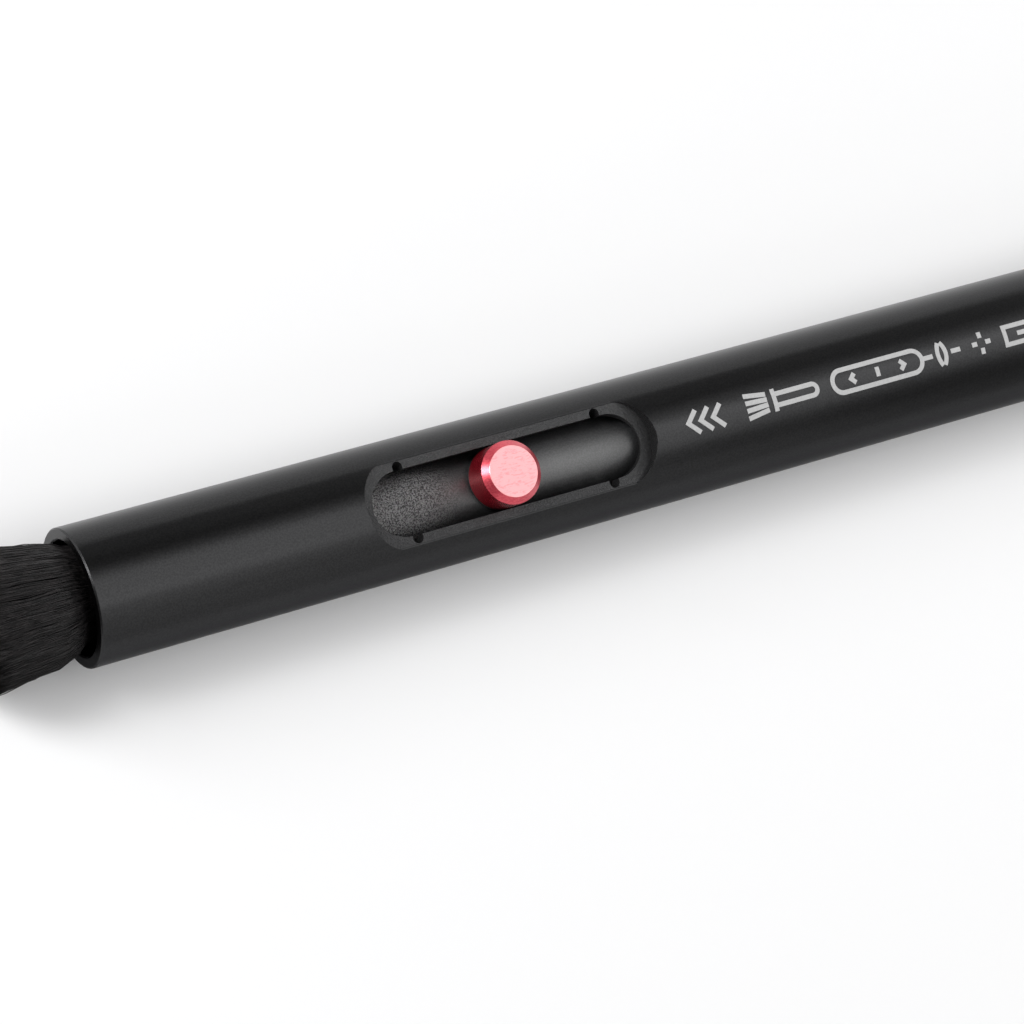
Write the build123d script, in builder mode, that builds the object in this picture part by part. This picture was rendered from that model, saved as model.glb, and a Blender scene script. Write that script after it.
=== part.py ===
"""Retractable lens cleaning pen: a slide-out brush at one end, a capped cleaning tip at the other.

Frame: the pen lies along X with its brush towards -X and its button up (+Z). The origin is on the
surface that the barrel lies on, below the middle of the pen's length. Stations along the pen are
measured from the barrel's mouth towards the cap, and radii from the pen's axis. Millimetres.
"""
import os
from math import cos, radians, sin, sqrt

from build123d import *

os.makedirs("parts", exist_ok=True)

# ---- driving dimensions ------------------------------------------------------------------------
barrel_r = 7.0               # outside radius, so the pen is 14 mm thick
bore_r = 5.22                # main bore, it carries the back of the brush carriage
end_bore_r = 5.8             # wider bore at both ends, where the wall is 1.2 mm
mouth_bore_depth = 28.4      # room for the brush and the carriage's front band over their travel
barrel_length = 118.0
edge_break = 0.15            # small chamfer on the barrel's and the cap's machined edges

brush_out = 12.4             # bristles beyond the mouth, button where it is drawn
button_station = 44.97       # centre of the button, measured from the mouth
land_height = 5.45           # flat floor of the thumb pocket above the pen's axis
pocket_half_width = 4.65
slot_half_width = 3.35
slot_front, slot_back = 33.8, 57.8      # centres of the slot's round ends
notch_front, notch_back = 34.3, 57.0    # the button's two parked positions
notch_r = 0.55
notch_offset = 3.65          # centre of each notch's round end, sideways from the axis

button_r = 3.25
button_top = 8.46            # height of the button's face above the axis
button_chamfer = 0.65
seat_height = 4.3            # flat on the carriage that carries the detent clip
clip_thickness = 0.3
stem_r = 1.6

sleeve_r = 4.3               # the part of the carriage seen through the slot
running_gap = 0.06           # between the carriage's two sliding bands and the bores
sleeve_wall = 1.3
boss_r = 3.1
boss_bottom = 1.2
spigot_front, spigot_r = 12.1, 4.2
front_guide = (14.0, 15.5)
rear_guide = (72.2, 76.0)

ferrule_front, ferrule_r = 9.9, 5.3
ferrule_wall = 0.55
crimp = (12.5, 13.5)
crimp_depth = 0.22
root_station = 10.8          # bristles are potted behind this station
plug_thickness = 1.2
core_r = 2.4
tuft_inner_r = 2.6
tuft_count = 12
tuft_gap = 3.0               # degrees left free between neighbouring tufts
table_clear_r = 6.95         # the lowest tuft is pressed flat by the table

cap_gap = 0.3
cap_length = 32.0
cap_inner_r = 6.0
cap_end_wall = 1.6
cap_end_break = 0.5
liner_inner_r = 5.4
neck_r = 5.1
neck_length = 9.0
insert_depth = 12.0
o_ring_section = 1.4
o_ring_r = 5.35              # outer radius of the ring in its groove
o_ring_from_barrel = 4.5
tip_stem_r = 2.1
tip_r = 4.8
fit_gap = 0.03               # glue or press line between fixed pieces

# ---- stations and helpers ----------------------------------------------------------------------
barrel_end = barrel_length
cap_open = barrel_end + cap_gap
cap_end = cap_open + cap_length
insert_front = barrel_end - insert_depth
rear_bore_front = insert_front - 0.2
mouth_x = brush_out - (brush_out + cap_end) / 2
axis_height = barrel_r
pen_axis = Axis((0, 0, axis_height), (1, 0, 0))
upright = radians(90)        # direction of a turned outline around the axis, 0 is +Y and 90 is up
low_at_the_back = radians(306.5)


def at(station, radius=0.0):
    """Point of the vertical half plane through the pen's axis, for a turned outline."""
    return (mouth_x + station, axis_height + radius)


def half_plane(direction):
    """Half plane through the pen's axis, with stations along its x and radii along its y."""
    return Plane(origin=(mouth_x, 0, axis_height), x_dir=(1, 0, 0),
                 z_dir=(0, -sin(direction), cos(direction)))


def turned_outline(points, direction=upright):
    """Closed face from (station, radius) corners, ready to be revolved."""
    with BuildSketch(half_plane(direction)) as outline:
        with BuildLine():
            Polyline(*points, close=True)
        make_face()
    return outline.sketch


def dish(rim_station, rim_r, depth, radius):
    """Point of a spherical dish (or crown) whose rim circle and depth are given."""
    sphere_r = (rim_r ** 2 + depth ** 2) / (2 * depth)
    return at(rim_station - depth + sphere_r - sqrt(sphere_r ** 2 - radius ** 2), radius)


def dish_arc(rim_station, rim_r, depth):
    """The three points of that dish's arc, from its rim to the pen's axis."""
    return [dish(rim_station, rim_r, depth, share * rim_r) for share in (1, 0.5, 0)]


def level(height):
    """Horizontal plane at a height above the pen's axis, its origin above the mouth."""
    return Plane(origin=(mouth_x, 0, axis_height + height), z_dir=(0, 0, 1))


def save(part, name):
    part.label = name
    export_step(part, f"parts/{name}.step")


# ---- barrel: aluminium tube with the thumb pocket, the slot and its detent notches --------------
with BuildPart() as barrel:
    revolve(turned_outline([
        (0, end_bore_r + edge_break), (0, barrel_r - edge_break), (edge_break, barrel_r),
        (barrel_end - edge_break, barrel_r), (barrel_end, barrel_r - edge_break),
        (barrel_end, end_bore_r + edge_break), (barrel_end - edge_break, end_bore_r),
        (rear_bore_front, end_bore_r), (rear_bore_front, bore_r),
        (mouth_bore_depth, bore_r), (mouth_bore_depth, end_bore_r), (edge_break, end_bore_r),
    ], low_at_the_back), axis=pen_axis)
    slot_centre = (slot_front + slot_back) / 2
    slot_length = slot_back - slot_front
    with BuildSketch(level(land_height)):
        with Locations((slot_centre, 0)):
            SlotCenterToCenter(slot_length, 2 * pocket_half_width)
    extrude(amount=barrel_r, mode=Mode.SUBTRACT)
    with BuildSketch(level(0)):
        with Locations((slot_centre, 0)):
            SlotCenterToCenter(slot_length, 2 * slot_half_width)
        with Locations((notch_front, 0), (notch_back, 0)):
            SlotCenterToCenter(2 * notch_offset, 2 * notch_r, rotation=90)
    extrude(amount=barrel_r, mode=Mode.SUBTRACT)
save(barrel.part, "barrel")

# ---- brush carriage: moulded sleeve that slides in the bore ------------------------------------
sleeve_bore_r = sleeve_r - sleeve_wall
front_guide_r = end_bore_r - running_gap
rear_guide_r = bore_r - running_gap
with BuildPart() as brush_carriage:
    revolve(turned_outline([
        (spigot_front, 0), (spigot_front, spigot_r), (front_guide[0], spigot_r),
        (front_guide[0], front_guide_r), (front_guide[1], front_guide_r),
        (front_guide[1] + 0.5, sleeve_r), (rear_guide[0] - 0.5, sleeve_r),
        (rear_guide[0], rear_guide_r), (rear_guide[1], rear_guide_r),
        (rear_guide[1], sleeve_bore_r), (front_guide[1] + 1.5, sleeve_bore_r),
        (front_guide[1], 0),
    ]), axis=pen_axis)
    with BuildSketch(level(boss_bottom)):
        with Locations((button_station, 0)):
            Circle(boss_r)
    extrude(amount=seat_height - boss_bottom)
    with BuildSketch(level(seat_height)):
        with Locations((button_station, 0)):
            Circle(boss_r + 0.3)
    extrude(amount=barrel_r - seat_height, mode=Mode.SUBTRACT)
    with BuildSketch(level(seat_height)):
        with Locations((button_station, 0)):
            Circle(stem_r + fit_gap)
    extrude(amount=boss_bottom - seat_height - 1, mode=Mode.SUBTRACT)
save(brush_carriage.part, "brush_carriage")

# ---- detent clip: stamped spring ring under the button with two side lugs ----------------------
lug_reach = button_r - 0.1     # squeezed by the slot's sides, as between two notches
lug_width = 0.8
lug_corner_r = 0.1
with BuildPart() as detent_clip:
    with BuildSketch(level(seat_height)):
        with Locations((button_station, 0)):
            Circle(boss_r - 0.3)
            Rectangle(lug_width, 2 * lug_reach)
            Circle(stem_r + fit_gap, mode=Mode.SUBTRACT)
    extrude(amount=clip_thickness)
    fillet(detent_clip.edges().filter_by(Axis.Z).group_by(Axis.Y)[0], lug_corner_r)
    fillet(detent_clip.edges().filter_by(Axis.Z).group_by(Axis.Y)[-1], lug_corner_r)
save(detent_clip.part, "detent_clip")

# ---- slide button: turned and anodised, its stem pressed into the carriage ---------------------
button_base = seat_height + clip_thickness
with BuildPart() as slide_button:
    with BuildSketch(level(button_base)):
        with Locations((button_station, 0)):
            Circle(button_r)
    extrude(amount=button_top - button_base)
    chamfer(slide_button.edges().group_by(Axis.Z)[-1], button_chamfer)
    chamfer(slide_button.edges().group_by(Axis.Z)[0], 0.1)
    with BuildSketch(level(button_base)):
        with Locations((button_station, 0)):
            Circle(stem_r)
    extrude(amount=boss_bottom + 0.6 - button_base)
    chamfer(slide_button.edges().group_by(Axis.Z)[0], 0.3)
save(slide_button.part, "slide_button")

# ---- brush ferrule: thin crimped cup that joins the bristles to the carriage's spigot ----------
ferrule_bore_r = ferrule_r - ferrule_wall
ferrule_back = front_guide[0] - 0.05
with BuildPart() as brush_ferrule:
    revolve(turned_outline([
        (ferrule_front, ferrule_bore_r), (ferrule_front, ferrule_r - 0.2),
        (ferrule_front + 0.2, ferrule_r), (crimp[0], ferrule_r),
        (crimp[0] + crimp_depth, ferrule_r - crimp_depth),
        (crimp[1] - crimp_depth, ferrule_r - crimp_depth), (crimp[1], ferrule_r),
        (ferrule_back, ferrule_r),
        (ferrule_back, spigot_r + fit_gap), (spigot_front, spigot_r + fit_gap),
        (spigot_front, ferrule_bore_r),
    ]), axis=pen_axis)
save(brush_ferrule.part, "brush_ferrule")

# ---- bristle plug: potting resin behind the bristles' roots ------------------------------------
with BuildPart() as bristle_plug:
    revolve(turned_outline([
        (root_station + fit_gap, 0), (root_station + fit_gap, ferrule_bore_r - fit_gap),
        (root_station + plug_thickness, ferrule_bore_r - fit_gap),
        (root_station + plug_thickness, 0),
    ]), axis=pen_axis)
save(bristle_plug.part, "bristle_plug")

# ---- bristles: a straight core and a ring of tufts that lean in as the brush draws back --------
with BuildPart() as bristle_core:
    revolve(turned_outline([
        (root_station, 0), (root_station, core_r), (-brush_out + 0.1, core_r), (-brush_out, 0),
    ]), axis=pen_axis)
save(bristle_core.part, "bristle_core")


def tuft_outline(limit_r):
    """(station, radius) corners of one tuft: the brush fills the mouth and flares beyond it."""
    flare = [(root_station, 4.6), (ferrule_front, 4.66), (0, 5.4), (-9.8, 7.05),
             (-11.2, 6.95), (-12.0, 6.2), (-12.35, 4.6)]
    outside = [(station, min(radius, limit_r)) for station, radius in flare]
    return [(root_station, tuft_inner_r)] + outside + [(-brush_out, tuft_inner_r)]


tuft_span = 360 / tuft_count
for index in range(tuft_count):
    middle = index * tuft_span
    start = radians(middle - (tuft_span - tuft_gap) / 2)
    lowest = abs(middle - 270) < tuft_span / 2
    outline = turned_outline(tuft_outline(table_clear_r if lowest else barrel_r + 1), start)
    with BuildPart() as tuft:
        revolve(outline, axis=pen_axis, revolution_arc=tuft_span - tuft_gap)
    save(tuft.part, f"bristle_tuft_{index + 1}")

# ---- rear insert: glued in the barrel's rear, its neck carries the cap -------------------------
insert_r = end_bore_r - fit_gap
neck_end = barrel_end + neck_length
groove_middle = barrel_end + o_ring_from_barrel
groove_half = o_ring_section / 2 + 0.05
groove_r = o_ring_r - o_ring_section
socket_r = 1.6
socket_depth = 6.0
with BuildPart() as rear_insert:
    revolve(turned_outline([
        (insert_front, 0), (insert_front, insert_r - 0.4), (insert_front + 0.4, insert_r),
        (barrel_end, insert_r),
        (barrel_end, neck_r), (groove_middle - groove_half, neck_r),
        (groove_middle - groove_half, groove_r), (groove_middle + groove_half, groove_r),
        (groove_middle + groove_half, neck_r), (neck_end - 1.2, neck_r), (neck_end, neck_r - 0.7),
        (neck_end, socket_r), (neck_end - socket_depth, socket_r), (neck_end - socket_depth, 0),
    ]), axis=pen_axis)
save(rear_insert.part, "rear_insert")

# ---- neck O-ring: grips the cap and turns with it ----------------------------------------------
ring_section_r = o_ring_section / 2 - fit_gap
with BuildPart() as neck_o_ring:
    with BuildSketch(Plane.XZ):
        with Locations(at(groove_middle, o_ring_r - o_ring_section / 2)):
            Circle(ring_section_r)
    revolve(axis=pen_axis)
save(neck_o_ring.part, "neck_o_ring")

# ---- cleaning tip: flexible stem, rubber cup and concave carbon pad ----------------------------
stem_end = neck_end + 12.0
cup_start, cup_end = stem_end - 2.2, stem_end + 4.6
stem_shoulder = neck_end + 0.05
with BuildPart() as tip_stem:
    revolve(turned_outline([
        (neck_end - socket_depth + 0.3, 0), (neck_end - socket_depth + 0.3, socket_r - fit_gap),
        (stem_shoulder, socket_r - fit_gap), (stem_shoulder, 3.2), (neck_end + 1.0, 3.2),
        (neck_end + 2.4, tip_stem_r), (stem_end, tip_stem_r), (stem_end, 0),
    ]), axis=pen_axis)
save(tip_stem.part, "tip_stem")

dish_depth = 0.95
with BuildPart() as tip_cup:
    with BuildSketch(Plane.XZ):
        with BuildLine():
            wall = Polyline(at(cup_start, tip_stem_r + fit_gap), at(cup_start, 2.9),
                            at(cup_start + 0.8, 3.0), at(cup_end - 2.4, tip_r - 0.2),
                            at(cup_end - 0.5, tip_r), at(cup_end, tip_r - 0.3))
            hollow = ThreePointArc(*dish_arc(cup_end, tip_r - 0.3, dish_depth))
            Polyline(hollow @ 1, at(stem_end + fit_gap, 0),
                     at(stem_end + fit_gap, tip_stem_r + fit_gap), wall @ 0)
        make_face()
    revolve(axis=pen_axis)
save(tip_cup.part, "tip_cup")

pad_thickness = 0.7
pad_r = tip_r - 0.5
with BuildPart() as carbon_pad:
    with BuildSketch(Plane.XZ):
        with BuildLine():
            back = ThreePointArc(*dish_arc(cup_end + fit_gap, pad_r, dish_depth))
            face = ThreePointArc(*dish_arc(cup_end + pad_thickness, pad_r, dish_depth))
            Line(back @ 0, face @ 0)
            Line(back @ 1, face @ 1)
        make_face()
    revolve(axis=pen_axis)
save(carbon_pad.part, "carbon_pad")

# ---- cap: turned shell, moulded liner and the sponge that recharges the pad ---------------------
cap_floor = cap_end - cap_end_wall
with BuildPart() as cap_shell:
    revolve(turned_outline([
        (cap_open, cap_inner_r + edge_break), (cap_open, barrel_r - edge_break),
        (cap_open + edge_break, barrel_r), (cap_end, barrel_r), (cap_end, 0), (cap_floor, 0),
        (cap_floor, cap_inner_r), (cap_open + edge_break, cap_inner_r),
    ], low_at_the_back), axis=pen_axis)
    chamfer(cap_shell.edges().group_by(Axis.X)[-1], cap_end_break)
save(cap_shell.part, "cap_shell")

liner_start = cap_open + 0.6
with BuildPart() as cap_liner:
    revolve(turned_outline([
        (liner_start, liner_inner_r + 0.25), (liner_start, cap_inner_r - fit_gap),
        (cap_floor - fit_gap, cap_inner_r - fit_gap), (cap_floor - fit_gap, liner_inner_r),
        (liner_start + 0.25, liner_inner_r),
    ]), axis=pen_axis)
save(cap_liner.part, "cap_liner")

sponge_rim = cup_end + pad_thickness + 0.9
crown_height = 0.9
sponge_r = liner_inner_r - fit_gap
with BuildPart() as cap_sponge:
    with BuildSketch(Plane.XZ):
        with BuildLine():
            crown = ThreePointArc(*dish_arc(sponge_rim, sponge_r, crown_height))
            Polyline(crown @ 1, at(cap_floor - fit_gap, 0), at(cap_floor - fit_gap, sponge_r),
                     crown @ 0)
        make_face()
    revolve(axis=pen_axis)
save(cap_sponge.part, "cap_sponge")

print("mouth at x =", round(mouth_x, 3), "cap end at x =", round(mouth_x + cap_end, 3))
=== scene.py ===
"""Looks of the lens cleaning pen: materials, bristles, pictograms, floor, light and camera.

Metres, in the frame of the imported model. Lengths that belong to the pen are given in millimetres
and turned into metres by MM. A station is a distance from the barrel's mouth towards the cap.
"""
from math import cos, hypot, pi, radians, sin

import bpy
import numpy as np
from mathutils import Matrix, Vector


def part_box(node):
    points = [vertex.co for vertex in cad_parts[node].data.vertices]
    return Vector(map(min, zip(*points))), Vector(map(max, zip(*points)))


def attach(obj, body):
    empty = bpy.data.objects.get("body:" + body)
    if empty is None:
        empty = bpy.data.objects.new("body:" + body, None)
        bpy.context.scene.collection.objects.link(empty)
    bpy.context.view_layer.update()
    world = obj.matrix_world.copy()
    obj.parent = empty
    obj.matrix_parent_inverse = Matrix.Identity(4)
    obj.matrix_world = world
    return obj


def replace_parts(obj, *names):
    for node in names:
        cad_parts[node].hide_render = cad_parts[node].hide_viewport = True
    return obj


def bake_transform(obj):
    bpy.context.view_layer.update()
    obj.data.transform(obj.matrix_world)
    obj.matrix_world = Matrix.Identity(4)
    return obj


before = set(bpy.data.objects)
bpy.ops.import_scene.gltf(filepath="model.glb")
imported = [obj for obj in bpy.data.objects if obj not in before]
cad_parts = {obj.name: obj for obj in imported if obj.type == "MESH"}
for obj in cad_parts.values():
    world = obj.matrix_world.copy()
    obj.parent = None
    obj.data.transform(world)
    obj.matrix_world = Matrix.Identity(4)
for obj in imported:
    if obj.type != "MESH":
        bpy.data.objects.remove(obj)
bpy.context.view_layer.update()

MM = 0.001

# ---- places taken from the frame ---------------------------------------------------------------
barrel_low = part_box("barrel")[0]
button_low, button_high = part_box("slide_button")
core_low, core_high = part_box("bristle_core")
ferrule_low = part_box("brush_ferrule")[0]
MOUTH_X = barrel_low.x
AXIS_Z = (barrel_low.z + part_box("cap_shell")[1].z) / 2
BARREL_R = AXIS_Z
BUTTON_X = (button_low.x + button_high.x) / 2
BRUSH_OUT = MOUTH_X - core_low.x
ROOT_STATION = core_high.x - MOUTH_X
LIP_STATION = ferrule_low.x - MOUTH_X
TUFT_NODES = sorted((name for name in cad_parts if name.startswith("bristle_tuft_")),
                    key=lambda name: int(name.rsplit("_", 1)[1]))
TUFT_COUNT = len(TUFT_NODES)


# ---- camera ------------------------------------------------------------------------------------
def add_camera():
    """The view leans towards the brush, a little to one side, and is tilted in its own plane."""
    lean, aside, tilt = radians(26.06), radians(2.72), radians(15.75)
    distance = 358.2 * MM
    target = Vector((MOUTH_X + 47.6 * MM, -3.45 * MM, AXIS_Z))
    back = Vector((-sin(lean), -cos(lean) * sin(aside), cos(lean) * cos(aside)))
    along = Vector((1, 0, 0)) - back * back.x
    along.normalize()
    across = back.cross(along)
    right = cos(tilt) * along - sin(tilt) * across
    up = back.cross(right)
    data = bpy.data.cameras.new("camera")
    data.sensor_width = 36
    data.lens = 123.96
    data.clip_start = 0.01
    camera = bpy.data.objects.new("camera", data)
    bpy.context.scene.collection.objects.link(camera)
    turn = Matrix((right, up, back)).transposed().to_4x4()
    camera.matrix_world = Matrix.Translation(target + distance * back) @ turn
    bpy.context.scene.camera = camera


add_camera()


# ---- material helpers --------------------------------------------------------------------------
class Look:
    """A material's node tree with its Principled shader, and short ways to add to it.

    Keyword inputs are the shader's own sockets, with an underscore for each space.
    """

    def __init__(self, name, colour, roughness, metallic=0.0, **inputs):
        self.material = bpy.data.materials.new(name)
        self.material.use_nodes = True
        self.tree = self.material.node_tree
        self.shader = self.tree.nodes["Principled BSDF"]
        self.shader.inputs["Base Color"].default_value = (*colour, 1)
        self.shader.inputs["Roughness"].default_value = roughness
        self.shader.inputs["Metallic"].default_value = metallic
        for label, value in inputs.items():
            self.shader.inputs[label.replace("_", " ")].default_value = value
        self.place = self.tree.nodes.new("ShaderNodeTexCoord").outputs["Object"]

    def add(self, kind, inputs=(), **settings):
        """A node; inputs maps a socket's name or number to a value or to another node's output."""
        node = self.tree.nodes.new(kind)
        for key, value in settings.items():
            setattr(node, key, value)
        for key, value in dict(inputs).items():
            if isinstance(value, bpy.types.NodeSocket):
                self.tree.links.new(value, node.inputs[key])
            else:
                node.inputs[key].default_value = value
        return node

    def noise(self, per_mm, detail=2.0, roughness=0.5, stretch=(1, 1, 1), distortion=0.0):
        """Noise of a given number of features per millimetre, stretched along the axes."""
        scale = self.add("ShaderNodeMapping", {"Vector": self.place, "Scale": stretch})
        return self.add("ShaderNodeTexNoise", {
            "Vector": scale.outputs[0], "Scale": per_mm / MM, "Detail": detail,
            "Roughness": roughness, "Distortion": distortion}).outputs[0]

    def ramp(self, value, low, high, low_out=0.0, high_out=1.0):
        """A smooth step: low_out up to low, high_out from high on."""
        return self.add("ShaderNodeMapRange", {
            "Value": value, "From Min": low, "From Max": high, "To Min": low_out,
            "To Max": high_out}, interpolation_type="SMOOTHSTEP").outputs[0]

    def math(self, operation, first, second=0.0):
        return self.add("ShaderNodeMath", {0: first, 1: second}, operation=operation).outputs[0]

    def mix(self, share, first, second):
        """Colour between two colours, or two outputs, by a share."""
        ends = [value if isinstance(value, bpy.types.NodeSocket) else (*value, 1)
                for value in (first, second)]
        return self.add("ShaderNodeMix", {0: share, 6: ends[0], 7: ends[1]},
                        data_type="RGBA").outputs[2]

    def tint(self, share, first, second):
        """Base colour mixed between two colours by a share."""
        self.tree.links.new(self.mix(share, first, second), self.shader.inputs["Base Color"])

    def rough(self, value):
        """Roughness from a node's output."""
        self.tree.links.new(value, self.shader.inputs["Roughness"])

    def bump(self, height, depth_mm):
        """Relief of a given depth in millimetres."""
        bump = self.add("ShaderNodeBump", {
            "Height": height, "Distance": depth_mm * MM, "Strength": 1.0})
        self.tree.links.new(bump.outputs[0], self.shader.inputs["Normal"])

    def axes(self):
        """The three object coordinates."""
        return self.add("ShaderNodeSeparateXYZ", {0: self.place}).outputs

    def distance(self, first, second):
        """Length of the hypotenuse over two outputs."""
        squares = [self.math("MULTIPLY", leg, leg) for leg in (first, second)]
        return self.math("SQRT", self.math("ADD", squares[0], squares[1]))


def anodised_black():
    """Bead-blasted and dyed black, with fine pits that are coarser where the surface was cut."""
    look = Look("anodised_black", (0.036, 0.036, 0.037), 0.34, 1.0,
                Specular_Tint=(0.54, 0.54, 0.545, 1))
    pits = look.noise(5.5, detail=3, roughness=0.6)
    x, y, z = look.axes()
    radius = look.distance(look.math("SUBTRACT", z, AXIS_Z), y)
    below_skin = look.ramp(radius, BARREL_R - 0.12 * MM, BARREL_R - 0.04 * MM, 1, 0)
    behind_mouth = look.ramp(x, MOUTH_X + 2 * MM, MOUTH_X + 3 * MM)
    cut = look.math("MULTIPLY", below_skin, behind_mouth)
    look.tree.links.new(look.math("SUBTRACT", 1.0, look.math("MULTIPLY", cut, 0.38)),
                        look.shader.inputs["Metallic"])
    # painted reflection and shade: the sheen at a grazing angle is full on the back half and half
    # as strong on the front
    painted_side_sheen = look.mix(look.ramp(y, -0.2 * BARREL_R, 0.3 * BARREL_R), (0.5, 0.5, 0.505),
                      (1.0, 1.0, 1.0))
    look.tree.links.new(painted_side_sheen, look.shader.inputs["Specular Tint"])
    broad = look.noise(0.12, detail=3, stretch=(0.4, 1, 1))
    look.rough(look.math("ADD", look.ramp(broad, 0.3, 0.7, 0.28, 0.32),
                         look.ramp(pits, 0.3, 0.7, 0, 0.03)))
    look.tint(look.ramp(pits, 0.35, 0.65), (0.035, 0.035, 0.036), (0.045, 0.045, 0.046))
    coarse = look.math("ADD", look.math("MULTIPLY", cut, 13.0), 1.0)
    look.bump(look.math("MULTIPLY", pits, coarse), 0.007)
    return look.material


def spark_black():
    """Moulded black plastic: coarse spark texture that fades out beside the button."""
    look = Look("spark_black", (0.014, 0.014, 0.0145), 0.42, IOR=1.68, Specular_IOR_Level=0.85)
    grain = look.noise(6.5, detail=2, roughness=0.6)
    fine = look.noise(14, detail=1)
    x = look.axes()[0]
    coarse = look.ramp(x, BUTTON_X - 9 * MM, BUTTON_X - 3.5 * MM, 1, 0.09)
    look.bump(look.math("ADD", look.math("MULTIPLY", grain, coarse),
                        look.math("MULTIPLY", fine, 0.03)), 0.2)
    look.rough(look.ramp(grain, 0.3, 0.7, 0.42, 0.52))
    speck = look.math("MULTIPLY", look.ramp(grain, 0.38, 0.62, -0.5, 1.15), coarse)
    look.tree.links.new(look.math("ADD", speck, 0.88), look.shader.inputs["Specular IOR Level"])
    look.tint(look.ramp(grain, 0.4, 0.62), (0.008, 0.0082, 0.009), (0.02, 0.0203, 0.0215))
    return look.material


def moulded_black():
    """Moulded black plastic with a fine, even grain."""
    look = Look("moulded_black", (0.02, 0.02, 0.021), 0.42)
    grain = look.noise(6, detail=2)
    look.bump(grain, 0.01)
    look.rough(look.ramp(grain, 0.3, 0.7, 0.36, 0.5))
    look.tint(look.ramp(grain, 0.4, 0.6), (0.016, 0.016, 0.017), (0.024, 0.024, 0.025))
    return look.material


def anodised_red():
    """Turned aluminium dyed red; the face is painted pale pink as a painted highlight and has
    short fine marks, and the chamfer is painted a lighter red than the side as painted light.
    """
    look = Look("anodised_red", (0.55, 0.012, 0.025), 0.26, 0.72, Coat_Weight=0.7,
                Coat_Roughness=0.27)
    x, y, z = look.axes()
    radius = look.distance(look.math("SUBTRACT", x, BUTTON_X), y)
    rings = look.math("SINE", look.math("MULTIPLY", radius, 2 * pi / (0.11 * MM)))
    turning = look.math("SINE", look.math("MULTIPLY", z, 2 * pi / (0.13 * MM)))
    mottle = look.noise(5, detail=4, roughness=0.65, stretch=(0.6, 1.3, 1))
    marks = look.ramp(look.noise(4.5, detail=3, roughness=0.6, stretch=(0.4, 1.4, 1)), 0.5, 0.68)
    grooves = look.math("MULTIPLY", look.math("ADD", rings, turning), 0.2)
    look.bump(look.math("ADD", grooves, mottle), 0.003)
    face = look.ramp(z, button_high.z - 0.05 * MM, button_high.z - 0.02 * MM)
    chamfer = look.ramp(z, button_high.z - 0.68 * MM, button_high.z - 0.6 * MM)
    look.rough(look.math("ADD", look.ramp(mottle, 0.3, 0.7, 0.18, 0.27),
                         look.math("MULTIPLY", chamfer, 0.11)))
    patch = look.ramp(mottle, 0.35, 0.65)
    # painted light on one dye: the side's darker red is painted shade, the chamfer's lighter red
    # painted light
    side_dye_shaded = look.mix(patch, (0.36, 0.012, 0.024), (0.50, 0.02, 0.038))
    chamfer_dye_lit = look.mix(patch, (0.62, 0.05, 0.08), (0.76, 0.09, 0.12))
    # painted highlight: the face is pale pink, with short fine marks of a deeper pink
    face_highlight_with_marks = look.mix(marks, (0.83, 0.345, 0.36), (0.77, 0.245, 0.27))
    look.tree.links.new(look.mix(face, look.mix(chamfer, side_dye_shaded, chamfer_dye_lit), face_highlight_with_marks),
                        look.shader.inputs["Base Color"])
    return look.material


def bright_metal(name, colour, roughness, per_mm=3.0):
    """Drawn or stamped bare metal with fine lines along the pen."""
    look = Look(name, colour, roughness, 1.0)
    lines = look.noise(per_mm, detail=3, stretch=(0.08, 1, 1))
    look.bump(lines, 0.004)
    look.rough(look.ramp(lines, 0.3, 0.7, roughness - 0.06, roughness + 0.1))
    look.tint(look.ramp(lines, 0.3, 0.7), tuple(0.85 * c for c in colour), colour)
    return look.material


def rubber(name, level, roughness):
    """Black rubber of a given grey level."""
    look = Look(name, (level,) * 3, roughness, Specular_IOR_Level=0.35)
    grain = look.noise(5, detail=3)
    look.bump(grain, 0.012)
    look.rough(look.ramp(grain, 0.3, 0.7, roughness - 0.08, roughness + 0.08))
    look.tint(look.ramp(grain, 0.3, 0.7), (0.8 * level,) * 3, (1.25 * level,) * 3)
    return look.material


def resin():
    """Cloudy amber casting resin."""
    look = Look("resin", (0.3, 0.2, 0.08), 0.15, Coat_Weight=0.4)
    cloud = look.noise(0.8, detail=3)
    look.bump(cloud, 0.02)
    look.rough(look.ramp(cloud, 0.3, 0.7, 0.1, 0.25))
    look.tint(look.ramp(cloud, 0.3, 0.7), (0.24, 0.15, 0.05), (0.36, 0.25, 0.11))
    return look.material


def suede():
    """Carbon-loaded suede: short nap, slightly shiny where the carbon is rubbed."""
    look = Look("suede", (0.022, 0.022, 0.024), 0.85, Sheen_Weight=0.25, Sheen_Roughness=0.5)
    nap = look.noise(9, detail=4, roughness=0.7)
    rubbed = look.noise(0.7, detail=2)
    look.bump(nap, 0.04)
    look.rough(look.ramp(rubbed, 0.35, 0.65, 0.6, 0.9))
    look.tint(look.ramp(nap, 0.35, 0.65), (0.015, 0.015, 0.017), (0.035, 0.035, 0.038))
    return look.material


def foam():
    """Open foam with lighter struts; the cells are painted dark as painted shade in their hollows.
    """
    look = Look("foam", (0.04, 0.04, 0.042), 0.9)
    cells = look.add("ShaderNodeTexVoronoi", {"Vector": look.place, "Scale": 3.0 / MM},
                  feature="DISTANCE_TO_EDGE").outputs["Distance"]
    look.bump(look.ramp(cells, 0.0, 0.12, 1, 0), 0.12)
    look.rough(look.ramp(cells, 0, 0.1, 0.75, 0.95))
    # painted shade: the cell hollows are darker than the struts
    look.tint(look.ramp(cells, 0.0, 0.1), (0.07, 0.07, 0.072), (0.015, 0.015, 0.016))
    return look.material


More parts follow.
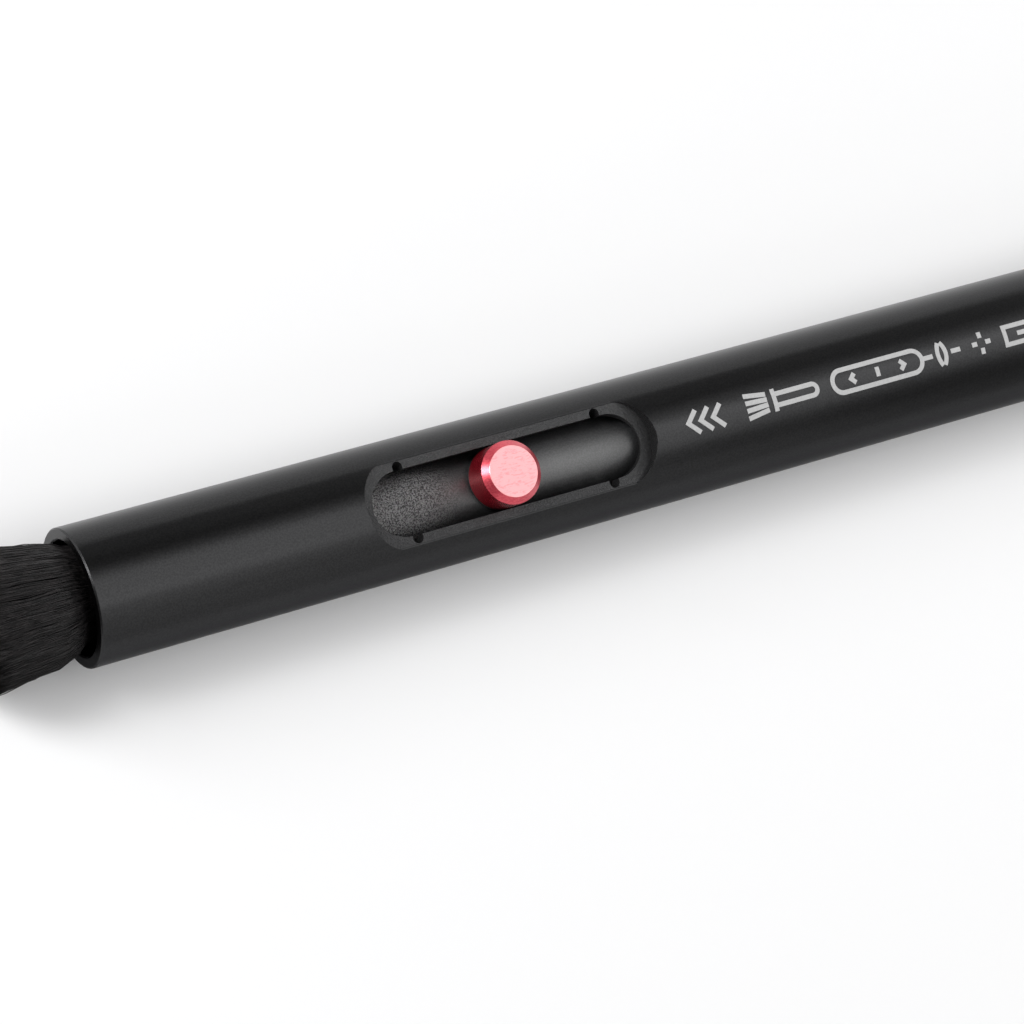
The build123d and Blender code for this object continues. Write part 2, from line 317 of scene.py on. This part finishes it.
def hair():
    """Fine black hair with a soft streaky gloss and a faint brown cast."""
    look = Look("hair", (0.008, 0.0072, 0.0072), 0.45, Specular_IOR_Level=0.45, Anisotropic=0.4)
    streak = look.noise(2.6, detail=4, roughness=0.65, stretch=(0.28, 1, 1), distortion=0.5)
    look.tint(look.ramp(streak, 0.35, 0.68), (0.004, 0.0037, 0.004), (0.023, 0.0195, 0.020))
    look.rough(look.ramp(streak, 0.3, 0.7, 0.38, 0.58))
    look.bump(streak, 0.01)
    return look.material


def print_ink():
    """Light grey pad-printed ink: a little uneven, thin and satin."""
    look = Look("print_ink", (0.43, 0.43, 0.43), 0.55)
    patch = look.noise(4, detail=4, roughness=0.6)
    look.tint(look.ramp(patch, 0.3, 0.7), (0.40, 0.40, 0.40), (0.46, 0.46, 0.46))
    look.rough(look.ramp(patch, 0.3, 0.7, 0.45, 0.6))
    look.bump(patch, 0.004)
    return look.material


BLACK = anodised_black()
MOULDED = moulded_black()
RUBBER = rubber("soft_black_rubber", 0.016, 0.6)
FINISHES = {
    "barrel": BLACK, "cap_shell": BLACK, "brush_carriage": spark_black(),
    "rear_insert": MOULDED, "cap_liner": MOULDED, "slide_button": anodised_red(),
    "detent_clip": bright_metal("clip_steel", (0.55, 0.55, 0.56), 0.25),
    "brush_ferrule": bright_metal("ferrule_aluminium", (0.8, 0.8, 0.81), 0.28),
    "bristle_plug": resin(), "neck_o_ring": RUBBER, "tip_cup": RUBBER,
    "tip_stem": rubber("stem_elastomer", 0.024, 0.45), "carbon_pad": suede(),
    "cap_sponge": foam(),
}
for node_name, material in FINISHES.items():
    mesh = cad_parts[node_name].data
    mesh.materials.clear()
    mesh.materials.append(material)


def new_piece(name, vertices, faces, material, body=None):
    """A mesh piece from vertices and faces, riding on a body if one is given."""
    mesh = bpy.data.meshes.new(name)
    mesh.from_pydata(vertices, [], faces)
    mesh.materials.append(material)
    mesh.polygons.foreach_set("use_smooth", [True] * len(mesh.polygons))
    mesh.update()
    piece = bpy.data.objects.new(name, mesh)
    bpy.context.scene.collection.objects.link(piece)
    if body:
        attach(piece, body)
    return piece


# ---- bristles ----------------------------------------------------------------------------------
HAIR_COUNT = 6800
HAIR_R = 0.052 * MM
HAIR_SIDES = 3
HAIR_BENDS = np.array([0, 0.2, 0.375, 0.445, 0.492, 0.55, 0.64, 0.77, 0.9, 1])   # root to tip
HAIR_RINGS = len(HAIR_BENDS)
RIM_SHARE, RIM_DEPTH = 0.42, 0.14    # this share of the hairs stands this near to the outside
CLUMP_COUNT = 90
TIP_DOME = 1.3 * MM                  # the outermost hairs end this much before the middle ones
TIP_SCATTER = 0.22 * MM
HAIR_WAVE, CLUMP_WAVE = 0.014, 0.017     # heights of the waves, as shares of the bundle's radius
DRIFT = 0.022
CORE_SHARE = 0.36            # hairs nearer the axis than this share of the brush stay straight
INNER_SHARE = 0.68           # and those nearer than this lean half as far
CORE, INNER, OUTER = 0, 1, 2

ENVELOPE_STATIONS = np.array([-13.0, -12.0, -9.8, -5.5, -2.2, -0.9, 0.2, 2.0, 9.9, 10.8]) * MM
ENVELOPE_RADII = np.array([7.25, 7.2, 7.02, 6.45, 5.95, 5.66, 5.12, 4.85, 4.62, 4.55]) * MM
MOUTH_SLACK = 0.24           # share of its radius that the bundle lacks on its crown at the mouth
SLACK_STATION, SLACK_REACH = 1.2 * MM, 2.2 * MM
MOUTH_BORE_R = 5.8 * MM
LEAN_IN = 0.0673             # radians that every tuft leans in when the brush is drawn in
TABLE_GAP = 0.12 * MM        # hairs that would come nearer to the table than this
TABLE_LIFT = 0.045           # turn up by this share of what they are too low


def round_spots(share, angle):
    """Places in the bundle's cross section, where the bundle's radius is 1."""
    return np.stack([share * np.cos(angle), share * np.sin(angle)], 1)


def waves(station, length, phase):
    """Sine waves along the hairs in both directions across the pen."""
    return np.sin(2 * pi * station[:, :, None] / length[:, None] + phase[:, None])


def lay_hairs(draw):
    """Every hair's stations, y, z and radii at its bends, and its tuft and layer."""
    share = np.sqrt(draw.uniform(0.0, 1.0, HAIR_COUNT))
    rim = draw.uniform(size=HAIR_COUNT) < RIM_SHARE
    share[rim] = 1 - RIM_DEPTH * draw.uniform(size=rim.sum()) ** 1.5
    angle = draw.uniform(0, 2 * pi, HAIR_COUNT)

    clump_share = np.sqrt(draw.uniform(0.02, 1.0, CLUMP_COUNT))
    clump_spot = round_spots(clump_share, draw.uniform(0, 2 * pi, CLUMP_COUNT))
    root_spot = round_spots(share, angle)
    clump = np.linalg.norm(root_spot[:, None] - clump_spot[None], axis=2).argmin(1)
    clump_strength = draw.uniform(0.06, 0.32, CLUMP_COUNT)[clump]

    tip = -BRUSH_OUT + TIP_DOME * share ** 4 + draw.exponential(TIP_SCATTER, HAIR_COUNT)
    wave_length = draw.uniform(4, 8, (HAIR_COUNT, 2)) * MM
    wave_phase = draw.uniform(0, 2 * pi, (HAIR_COUNT, 2))
    clump_phase = draw.uniform(0, 2 * pi, (CLUMP_COUNT, 2))[clump]
    clump_length = draw.uniform(6, 10, (CLUMP_COUNT, 2))[clump] * MM
    drift = draw.normal(0, DRIFT, (HAIR_COUNT, 2))
    thickness = draw.uniform(0.75, 1.15, HAIR_COUNT)
    tuft_width = 2 * pi / TUFT_COUNT
    dither = draw.normal(0, 0.14 * tuft_width, HAIR_COUNT)

    # away from the ferrule each hair draws to its clump, drifts off its line and waves
    station = ROOT_STATION + HAIR_BENDS[None, :] * (tip - ROOT_STATION)[:, None]
    free = np.clip((LIP_STATION - station) / (LIP_STATION + BRUSH_OUT), 0, 1)
    pull = (clump_spot[clump] - root_spot)[:, None, :]
    spot = root_spot[:, None, :] + pull * (clump_strength[:, None] * free ** 1.5)[:, :, None]
    spot = spot + drift[:, None, :] * free[:, :, None]
    wave = HAIR_WAVE * waves(station, wave_length, wave_phase)
    wave = wave + CLUMP_WAVE * waves(station, clump_length, clump_phase)
    spot = spot + wave * free[:, :, None] ** 0.7
    reach = np.linalg.norm(spot, axis=2)
    limit = np.where(station > 0, 0.995, 1.03)
    spot = spot * np.minimum(1, limit / np.maximum(reach, 1e-6))[:, :, None]

    # the bundle fills an envelope that is slack on its crown at the mouth
    radius = np.interp(station, ENVELOPE_STATIONS, ENVELOPE_RADII)
    crown = np.clip(0.75 * spot[:, :, 1] - 0.65 * spot[:, :, 0], 0, 1)
    near_mouth = np.exp(-((station - SLACK_STATION) / SLACK_REACH) ** 2)
    radius = radius * (1 - MOUTH_SLACK * crown * near_mouth)
    y = spot[:, :, 0] * radius
    z = AXIS_Z + spot[:, :, 1] * radius
    z = np.where(z < TABLE_GAP, TABLE_GAP + TABLE_LIFT * (TABLE_GAP - z), z)

    # with the tufts leaning in by LEAN_IN, every hair has to clear the bore
    tuft = (np.round((angle + dither) / tuft_width).astype(int)) % TUFT_COUNT
    height, across = z - AXIS_Z, np.hypot(y, z - AXIS_Z)
    off_tuft = np.arctan2(height, y) - tuft[:, None] * tuft_width
    room = MOUTH_BORE_R - 1.2 * HAIR_R + (LIP_STATION - station) * LEAN_IN * np.cos(off_tuft)
    squeeze = np.where(station < 0, np.minimum(1, room / np.maximum(across, 1e-9)), 1)

    taper = np.interp(HAIR_BENDS, [0, 0.6, 0.9, 1.0], [1.0, 1.0, 0.7, 0.25])
    hair_r = HAIR_R * thickness[:, None] * taper[None, :]
    layer = np.where(share < CORE_SHARE, CORE, np.where(share < INNER_SHARE, INNER, OUTER))
    return (station, y * squeeze, AXIS_Z + height * squeeze, hair_r), tuft, layer


def strands(station, y, z, hair_r):
    """Vertices and faces of hairs as thin tapered tubes with closed ends."""
    turn = np.arange(HAIR_SIDES) * 2 * pi / HAIR_SIDES
    centre = np.stack([MOUTH_X + station, y, z], 2)
    points = np.repeat(centre[:, :, None, :], HAIR_SIDES, axis=2)
    points[:, :, :, 1] += hair_r[:, :, None] * np.cos(turn)
    points[:, :, :, 2] += hair_r[:, :, None] * np.sin(turn)
    faces = []
    for hair_index in range(len(station)):
        base = hair_index * HAIR_RINGS * HAIR_SIDES
        for level in range(HAIR_RINGS - 1):
            low = base + level * HAIR_SIDES
            high = low + HAIR_SIDES
            for side in range(HAIR_SIDES):
                after = (side + 1) % HAIR_SIDES
                faces.append((low + side, high + side, high + after, low + after))
        faces.append(tuple(base + side for side in range(HAIR_SIDES)))
        last = base + (HAIR_RINGS - 1) * HAIR_SIDES
        faces.append(tuple(last + side for side in reversed(range(HAIR_SIDES))))
    return points.reshape(-1, 3), faces


def build_bristles():
    """Every hair is a strand of its own, grouped with the other hairs of its tuft."""
    paths, tuft, layer = lay_hairs(np.random.default_rng(14))
    hair_material = hair()

    def bundle(name, chosen, body=None):
        vertices, faces = strands(*(values[chosen] for values in paths))
        return new_piece(name, vertices, faces, hair_material, body)

    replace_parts(bundle("hair_core", layer == CORE, "carriage"), "bristle_core")
    lip_x = MOUTH_X + LIP_STATION
    tip_x = MOUTH_X - BRUSH_OUT
    for index in range(TUFT_COUNT):
        for kind, name, bend_end in ((INNER, "hair_inner", lip_x + 2.0 * (tip_x - lip_x)),
                                     (OUTER, "hair_outer", lip_x + 0.32 * (tip_x - lip_x))):
            piece = bundle(f"{name}_{index + 1}", (tuft == index) & (layer == kind))
            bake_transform(piece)
            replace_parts(piece, TUFT_NODES[index])


build_bristles()


# ---- printed pictograms ------------------------------------------------------------------------
PRINT_START = 66.0           # station of the first mark, in mm
PRINT_HEIGHT = 2.9
STROKE = 0.5
PRINT_LIFT = 0.035


def arc(cx, cy, radius, first, last, steps=24):
    """Points of an arc, angles in degrees."""
    turns = [radians(first + (last - first) * step / steps) for step in range(steps + 1)]
    return [(cx + radius * cos(turn), cy + radius * sin(turn)) for turn in turns]


def pictograms():
    """Open strokes in mm: x along the pen from the first mark, y across it."""
    half = PRINT_HEIGHT / 2 - STROKE / 2
    strokes = []
    # three chevrons that point to the brush
    for step in range(3):
        x = 0.3 + 1.5 * step
        strokes.append([(x + half, half), (x, 0), (x + half, -half)])
    # a brush: splayed hair, ferrule and handle
    x = 7.4
    for spread in (-1, -0.33, 0.33, 1):
        strokes.append([(x, spread * half), (x + 2.6, spread * half * 0.7)])
    strokes.append([(x + 3.5, half), (x + 3.5, -half)])
    strokes.append([(x + 3.5, half * 0.5), (x + 8.2, half * 0.5)] + arc(
        x + 8.2, 0, half * 0.5, 90, -90, 12) + [(x + 3.5, -half * 0.5)])
    # a slide in its long slot, with an arrow on each side of its button
    x = 19.4
    strokes.append(arc(x, 0, half, 90, 270, 20) + arc(x + 9.0, 0, half, 270, 450, 20) +
                   [(x, half)])
    strokes.append([(x + 4.5, half * 0.42), (x + 4.5, -half * 0.42)])
    strokes.append([(x + 1.6, half * 0.42), (x + 1.1, 0), (x + 1.6, -half * 0.42)])
    strokes.append([(x + 7.4, half * 0.42), (x + 7.9, 0), (x + 7.4, -half * 0.42)])
    # a lens seen from its edge, on its optical axis
    x = 32.2
    strokes.append(arc(x + 1.7, 0, 2.2, 146, 214, 14))
    strokes.append(arc(x - 1.7, 0, 2.2, -34, 34, 14))
    strokes.append([(x - 2.4, 0), (x - 1.2, 0)])
    strokes.append([(x + 1.2, 0), (x + 2.4, 0)])
    # a clean sparkle
    x = 37.4
    for turn in range(4):
        across, along = sin(radians(90 * turn)), cos(radians(90 * turn))
        strokes.append([(x + 0.55 * along, 0.55 * across), (x + half * along, half * across)])
    # the cap: a closed end, drawn off along a plain line
    x = 40.6
    strokes.append([(x + 4.4, half * 0.8), (x, half * 0.8), (x, -half * 0.8),
                    (x + 4.4, -half * 0.8)])
    strokes.append([(x + 1.6, 0), (x + 6.4, 0)])
    return strokes


def stroke_outline(points, width):
    """Left and right edges of a stroke, mitred at its corners and closed if its ends meet."""
    points = [Vector(point) for point in points]
    closed = (points[0] - points[-1]).length < 1e-6
    if closed:
        points = points[:-1]
    count = len(points)
    left, right = [], []
    for index, point in enumerate(points):
        before = points[index - 1] if index or closed else None
        after = points[(index + 1) % count] if index < count - 1 or closed else None
        step_in = (point - before).normalized() if before is not None else None
        step_out = (after - point).normalized() if after is not None else None
        if step_in is None:
            step_in = step_out
        if step_out is None:
            step_out = step_in
        middle = (step_in + step_out).normalized()
        normal = Vector((-middle.y, middle.x))
        stretch = 1 / max(0.5, normal.dot(Vector((-step_out.y, step_out.x))))
        left.append(point + normal * (width / 2 * stretch))
        right.append(point - normal * (width / 2 * stretch))
    return left, right, closed


def subdivided(points, longest=0.35):
    """The same stroke with no step longer than a limit, so that it follows the barrel."""
    result = [points[0]]
    for first, second in zip(points, points[1:]):
        length = hypot(second[0] - first[0], second[1] - first[1])
        if length < 1e-6:
            continue
        steps = int(length / longest) + 1
        for step in range(1, steps + 1):
            share = step / steps
            result.append((first[0] + share * (second[0] - first[0]),
                           first[1] + share * (second[1] - first[1])))
    return result


def build_print():
    """Thin closed ribbons wrapped on the barrel's crown."""
    vertices, faces = [], []

    def wrapped(point, lift):
        turn = point[1] * MM / BARREL_R
        radius = BARREL_R + lift * MM
        return (MOUTH_X + (PRINT_START + point[0]) * MM, radius * sin(turn),
                AXIS_Z + radius * cos(turn))

    for stroke in pictograms():
        left, right, closed = stroke_outline(subdivided(stroke), STROKE)
        base = len(vertices)
        for first, second in zip(left, right):
            for point, lift in ((first, PRINT_LIFT), (second, PRINT_LIFT),
                                (second, -PRINT_LIFT), (first, -PRINT_LIFT)):
                vertices.append(wrapped(point, lift))
        count = len(left)
        for index in range(count if closed else count - 1):
            here, there = base + 4 * index, base + 4 * ((index + 1) % count)
            for side in range(4):
                after = (side + 1) % 4
                faces.append((here + side, here + after, there + after, there + side))
        if not closed:
            faces.append((base + 3, base + 2, base + 1, base))
            last = base + 4 * (count - 1)
            faces.append((last, last + 1, last + 2, last + 3))
    piece = new_piece("printed_pictograms", vertices, faces, print_ink(),
                      "barrel_body")
    piece.data.polygons.foreach_set("use_smooth", [False] * len(piece.data.polygons))


build_print()


# ---- floor and light ---------------------------------------------------------------------------
def build_stage():
    """A pale floor under the pen."""
    floor_half = 1.5
    corners = [(-floor_half, -floor_half, 0), (floor_half, -floor_half, 0),
               (floor_half, floor_half, 0), (-floor_half, floor_half, 0)]
    mesh = bpy.data.meshes.new("floor")
    mesh.from_pydata(corners, [], [(0, 1, 2, 3)])
    look = Look("pale_floor", (0.86, 0.86, 0.865), 0.6)
    mesh.materials.append(look.material)
    floor = bpy.data.objects.new("floor", mesh)
    bpy.context.scene.collection.objects.link(floor)


def softbox(name, azimuth, elevation, distance, size, power):
    """A rectangular area light that faces the pen.

    Azimuth from +X and elevation are in degrees, distance and size in metres, power in watts.
    """
    aim = Vector((MOUTH_X + 45 * MM, 0, 0))
    turn, rise = radians(azimuth), radians(elevation)
    data = bpy.data.lights.new(name, "AREA")
    data.shape = "RECTANGLE"
    data.size, data.size_y = size
    data.energy = power
    light = bpy.data.objects.new(name, data)
    light.location = aim + distance * Vector((cos(rise) * cos(turn), cos(rise) * sin(turn),
                                              sin(rise)))
    light.rotation_euler = (aim - light.location).to_track_quat("-Z", "Y").to_euler()
    bpy.context.scene.collection.objects.link(light)


def build_light():
    """Soft light from above, two small keys beyond the brush, low fills and a dim studio."""
    softbox("overhead", -14.0, 71.6, 0.65, (0.55, 0.5), 1.32)
    softbox("overhead_front", -72.5, 52.5, 0.66, (0.35, 0.35), 0.32)
    softbox("overhead_back", 30.0, 50.0, 0.7, (0.35, 0.35), 0.22)
    softbox("low_key", 153.0, 23.0, 0.7, (0.2, 0.2), 2.18)
    softbox("high_key", 150.0, 42.0, 0.7, (0.18, 0.18), 2.35)
    softbox("rear_fill", 0.0, 31.0, 0.7, (0.35, 0.35), 1.7)
    softbox("front_fill", -90.0, 36.0, 0.7, (0.8, 0.3), 0.33)
    softbox("front_low", -90.0, 16.0, 0.7, (1.0, 0.34), 0.66)
    softbox("back_fill", 85.0, 28.0, 0.6, (1.2, 0.2), 0.17)
    softbox("horizon", 85.0, 4.0, 0.5, (1.4, 0.06), 0.36)
    world = bpy.data.worlds.new("studio")
    world.use_nodes = True
    background = world.node_tree.nodes["Background"]
    background.inputs["Color"].default_value = (1.0, 0.995, 0.985, 1)
    background.inputs["Strength"].default_value = 0.105
    bpy.context.scene.world = world
    bpy.context.scene.view_settings.view_transform = "Standard"


build_stage()
build_light()
